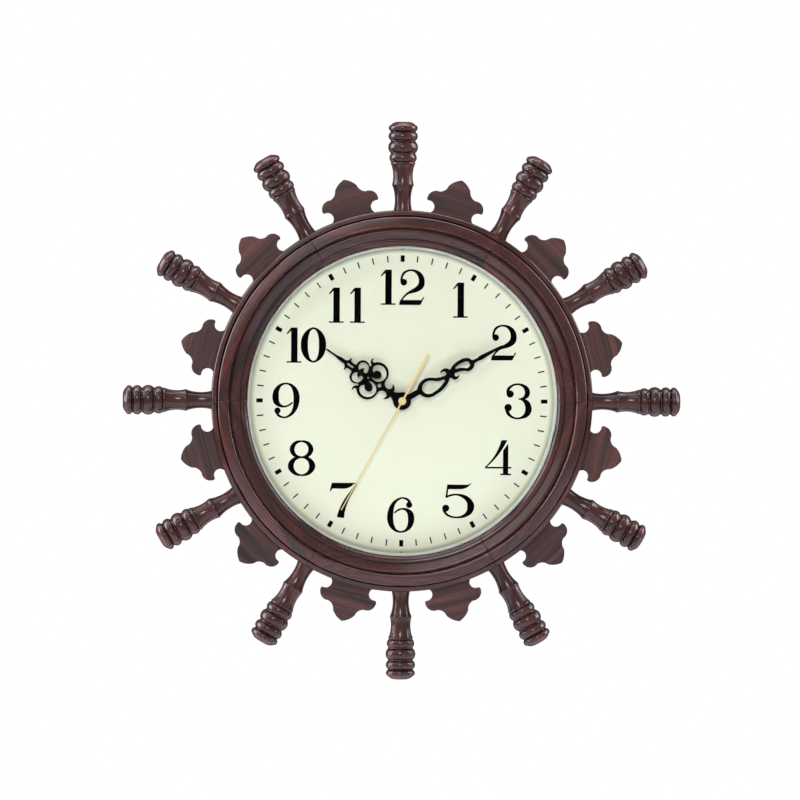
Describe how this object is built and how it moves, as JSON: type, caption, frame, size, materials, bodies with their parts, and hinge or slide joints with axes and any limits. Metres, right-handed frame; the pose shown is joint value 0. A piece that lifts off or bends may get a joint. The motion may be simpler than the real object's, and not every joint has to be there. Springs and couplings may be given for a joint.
{
  "type": "ship's wheel wall clock",
  "caption": "Ship's wheel wall clock in dark lacquered wood: turned handles, flat boards between them, cream dial, black openwork hands and a battery quartz movement.",
  "frame": {"origin": "on the clock's own axis, in the plane of its back, which is the wall's plane", "axes": "+Z to twelve o'clock, +X to three o'clock as the viewer sees it, +Y into the wall"},
  "size_m": [0.558, 0.046, 0.558],
  "materials": {
    "turned_wood": "high gloss lacquer",
    "flat_wood": "satin lacquer",
    "board_wood": "matte hardboard",
    "clear_glass": "polished",
    "cream_plastic": "matte",
    "dial_paint": "matte",
    "black_aluminium": "satin black",
    "gilt_brass": "satin gilt",
    "brass": "polished",
    "zinc_steel": "zinc plated",
    "case_plastic": "fine texture",
    "wheel_plastic": "satin",
    "magnet": "satin",
    "copper_wire": "enamelled",
    "green_laminate": "satin",
    "battery_label": "gloss"
  },
  "bodies": {
    "case": {"ring_segment_1": "turned_wood", "ring_segment_2": "turned_wood", "ring_segment_3": "turned_wood", "ring_segment_4": "turned_wood", "ring_segment_5": "turned_wood", "ring_segment_6": "turned_wood", "handle_01": "turned_wood", "handle_02": "turned_wood", "handle_03": "turned_wood", "handle_04": "turned_wood", "handle_05": "turned_wood", "handle_06": "turned_wood", "handle_07": "turned_wood", "handle_08": "turned_wood", "handle_09": "turned_wood", "handle_10": "turned_wood", "handle_11": "turned_wood", "handle_12": "turned_wood", "ornament_01": "flat_wood", "ornament_02": "flat_wood", "ornament_03": "flat_wood", "ornament_04": "flat_wood", "ornament_05": "flat_wood", "ornament_06": "flat_wood", "ornament_07": "flat_wood", "ornament_08": "flat_wood", "ornament_09": "flat_wood", "ornament_10": "flat_wood", "ornament_11": "flat_wood", "ornament_12": "flat_wood", "dial_board": "board_wood", "back_board": "board_wood", "glass": "clear_glass", "glass_spacer": "cream_plastic", "dial_sheet": "dial_paint", "bushing_washer": "brass", "bushing_nut": "brass", "hanger_plate": "zinc_steel", "hanger_screws": "zinc_steel", "dial_board_screws": "zinc_steel", "back_board_screws": "zinc_steel", "positive_contact": "zinc_steel", "negative_contact": "zinc_steel", "stator": "zinc_steel", "movement_case_front": "case_plastic", "movement_case_back": "case_plastic", "coil": "copper_wire", "circuit_board": "green_laminate"},
    "seconds": {"seconds_wheel": "wheel_plastic", "second_hand": "gilt_brass"},
    "minutes": {"minute_wheel": "wheel_plastic", "minute_hand": "black_aluminium"},
    "hours": {"hour_wheel": "wheel_plastic", "hour_hand": "black_aluminium"},
    "third": {"third_wheel": "wheel_plastic"},
    "intermediate": {"intermediate_wheel": "wheel_plastic"},
    "rotor_shaft": {"rotor": "magnet"},
    "motion": {"motion_wheel": "wheel_plastic"},
    "setting": {"setting_knob": "case_plastic"},
    "cell": {"battery": "battery_label"}
  },
  "joints": [
    {"name": "seconds_turn", "type": "hinge", "parent": "case", "child": "seconds", "pos_m": [0, -0.0293, 0], "axis": [0, 1, 0], "continuous": true},
    {"name": "minutes_turn", "type": "hinge", "parent": "case", "child": "minutes", "pos_m": [0, -0.0274, 0], "axis": [0, 1, 0], "continuous": true},
    {"name": "hours_turn", "type": "hinge", "parent": "case", "child": "hours", "pos_m": [0, -0.025, 0], "axis": [0, 1, 0], "continuous": true},
    {"name": "third_turn", "type": "hinge", "parent": "case", "child": "third", "pos_m": [-0.0095, -0.0072, 0], "axis": [0, 1, 0], "continuous": true},
    {"name": "intermediate_turn", "type": "hinge", "parent": "case", "child": "intermediate", "pos_m": [0.0095, -0.0072, 0], "axis": [0, 1, 0], "continuous": true},
    {"name": "rotor_shaft_turn", "type": "hinge", "parent": "case", "child": "rotor_shaft", "pos_m": [0.01573, -0.0099, 0.0036], "axis": [0, 1, 0], "continuous": true},
    {"name": "motion_turn", "type": "hinge", "parent": "case", "child": "motion", "pos_m": [0, -0.0105, 0.00875], "axis": [0, 1, 0], "continuous": true},
    {"name": "setting_turn", "type": "hinge", "parent": "case", "child": "setting", "pos_m": [-0.00758, -0.002, 0.01312], "axis": [0, 1, 0], "continuous": true},
    {"name": "battery_lift", "type": "slide", "parent": "case", "child": "cell", "axis": [0, 1, 0], "range_m": [0, 0.02]}
  ],
  "couplings": [
    {"joint": "minutes_turn", "follows": "seconds_turn", "ratio": 0.016667},
    {"joint": "hours_turn", "follows": "seconds_turn", "ratio": 0.0013889},
    {"joint": "third_turn", "follows": "seconds_turn", "ratio": -0.13333},
    {"joint": "intermediate_turn", "follows": "seconds_turn", "ratio": -6},
    {"joint": "rotor_shaft_turn", "follows": "seconds_turn", "ratio": 30},
    {"joint": "motion_turn", "follows": "seconds_turn", "ratio": -0.0055556},
    {"joint": "setting_turn", "follows": "seconds_turn", "ratio": 0.016667}
  ]
}
